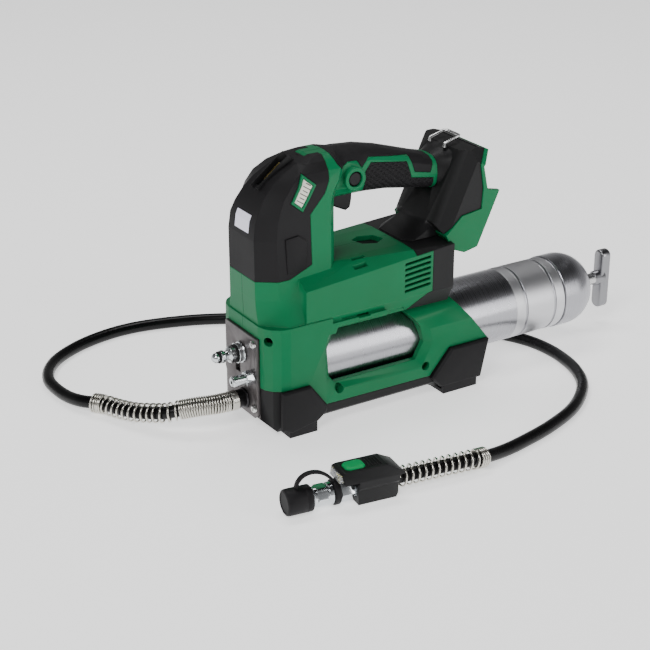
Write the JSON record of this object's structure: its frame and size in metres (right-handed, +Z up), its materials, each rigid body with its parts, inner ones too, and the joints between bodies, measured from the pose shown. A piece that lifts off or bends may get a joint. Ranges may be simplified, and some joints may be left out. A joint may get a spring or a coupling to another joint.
{
  "type": "cordless grease gun",
  "caption": "Cordless grease gun without battery: barrel under a motor deck, carrying handle with trigger, tilted battery dock, plunger rod and a spring-guarded hose with a lamp at its coupler.",
  "frame": {"origin": "on the ground under the middle of the tool, between the tip of the grease nipple and the back of the tee handle", "axes": "+X to the rear of the tool along the barrel, +Y to the tool's right side, +Z up"},
  "size_m": [0.446, 0.345, 0.1973],
  "materials": {
    "green_nylon": "moulded, fine texture, satin",
    "black_nylon": "moulded, fine texture",
    "black_rubber": "soft overmould, matte",
    "hose_rubber": "smooth, semi-gloss",
    "brushed_aluminium": "satin, turned",
    "steel": "drawn or ground",
    "zinc_plated_steel": "bright zinc plate",
    "grey_casting": "as cast, dark",
    "brass": "plain",
    "circuit_board": "solder resist",
    "clear_lens": "clear, smooth",
    "bright_green_plastic": "smooth"
  },
  "bodies": {
    "tool": {"base_tray": "black_nylon", "battery_dock": "black_nylon", "bearing_plate": "brushed_aluminium", "cap_strap": "black_rubber", "control_board": "circuit_board", "coupler_nut": "zinc_plated_steel", "display_bezel": "green_nylon", "display_gauge": "clear_lens", "dock_rim": "green_nylon", "foot_front_left": "black_rubber", "foot_front_right": "black_rubber", "foot_rear_left": "black_rubber", "foot_rear_right": "black_rubber", "front_cover": "black_rubber", "front_plate": "steel", "grease_coupler": "zinc_plated_steel", "grease_nipple": "zinc_plated_steel", "grip_palm": "black_rubber", "grip_top": "black_rubber", "hose_adapter": "steel", "hose_spring_nozzle": "steel", "hose_spring_tool": "steel", "hose_tube": "hose_rubber", "housing_left": "green_nylon", "housing_right": "green_nylon", "lamp_housing": "black_nylon", "lamp_lens": "clear_lens", "led_lens": "clear_lens", "motor_can": "steel", "nozzle_cap": "black_rubber", "plate_screw_bottom": "zinc_plated_steel", "plate_screw_top": "zinc_plated_steel", "pump_head": "grey_casting", "rear_cover": "black_nylon", "ring_gear": "steel", "strap_bar": "brass", "strap_loop": "steel", "switch_body": "black_nylon", "terminal_blade_left": "brass", "terminal_blade_right": "brass", "terminal_block": "black_nylon", "trigger_pin": "steel"},
    "rotor": {"rotor": "steel", "cooling_fan": "black_nylon"},
    "carrier": {"planet_carrier": "steel"},
    "planet_1": {"planet_gear_1": "steel"},
    "planet_2": {"planet_gear_2": "steel"},
    "planet_3": {"planet_gear_3": "steel"},
    "plunger": {"pump_plunger": "steel"},
    "trigger": {"trigger": "black_nylon"},
    "lock": {"lock_button": "black_nylon"},
    "relief": {"relief_valve": "zinc_plated_steel"},
    "barrel": {"barrel_tube": "brushed_aluminium", "end_cap": "brushed_aluminium", "follower_spring": "steel"},
    "rod": {"plunger_rod": "steel", "tee_handle": "brushed_aluminium"},
    "follower": {"follower_plate": "steel", "follower_seal": "black_rubber"},
    "lamp_switch": {"lamp_button": "bright_green_plastic"}
  },
  "joints": [
    {"name": "rotor_spin", "type": "hinge", "parent": "tool", "child": "rotor", "pos_m": [0, 0, 0.0965], "axis": [1, 0, 0], "continuous": true},
    {"name": "carrier_spin", "type": "hinge", "parent": "tool", "child": "carrier", "pos_m": [0, 0, 0.0965], "axis": [1, 0, 0], "continuous": true},
    {"name": "planet_1_spin", "type": "hinge", "parent": "carrier", "child": "planet_1", "pos_m": [0, 0.00918, 0.0965], "axis": [1, 0, 0], "continuous": true},
    {"name": "planet_2_spin", "type": "hinge", "parent": "carrier", "child": "planet_2", "pos_m": [0, -0.00459, 0.10445], "axis": [1, 0, 0], "continuous": true},
    {"name": "planet_3_spin", "type": "hinge", "parent": "carrier", "child": "planet_3", "pos_m": [0, -0.00459, 0.08855], "axis": [1, 0, 0], "continuous": true},
    {"name": "plunger_stroke", "type": "slide", "parent": "tool", "child": "plunger", "axis": [0, 0, 1], "range_m": [-0.004, 0.004]},
    {"name": "trigger_pull", "type": "hinge", "parent": "tool", "child": "trigger", "pos_m": [-0.094, 0, 0.17], "axis": [0, -1, 0], "range_deg": [0, 12], "stiffness_Nm_per_rad": 0.5, "springref_deg": -11.46},
    {"name": "lock_press", "type": "slide", "parent": "tool", "child": "lock", "axis": [0, 1, 0], "range_m": [0, 0.0025], "stiffness_N_per_m": 200, "springref_m": -0.002},
    {"name": "relief_turn", "type": "hinge", "parent": "tool", "child": "relief", "pos_m": [-0.16, -0.016, 0.043], "axis": [1, 0, 0], "range_deg": [0, 180]},
    {"name": "barrel_turn", "type": "hinge", "parent": "tool", "child": "barrel", "pos_m": [0, 0, 0.041], "axis": [1, 0, 0], "continuous": true},
    {"name": "rod_pull", "type": "slide", "parent": "barrel", "child": "rod", "axis": [1, 0, 0], "range_m": [0, 0.17]},
    {"name": "follower_travel", "type": "slide", "parent": "barrel", "child": "follower", "axis": [1, 0, 0], "range_m": [0, 0.15], "deforming": ["follower_spring"]},
    {"name": "lamp_switch_press", "type": "slide", "parent": "tool", "child": "lamp_switch", "axis": [0, 0, -1], "range_m": [0, 0.001], "stiffness_N_per_m": 300, "springref_m": -0.001}
  ],
  "couplings": [
    {"joint": "carrier_spin", "follows": "rotor_spin", "ratio": 0.22222},
    {"joint": "planet_1_spin", "follows": "rotor_spin", "ratio": -0.62222},
    {"joint": "planet_2_spin", "follows": "rotor_spin", "ratio": -0.62222},
    {"joint": "planet_3_spin", "follows": "rotor_spin", "ratio": -0.62222}
  ]
}
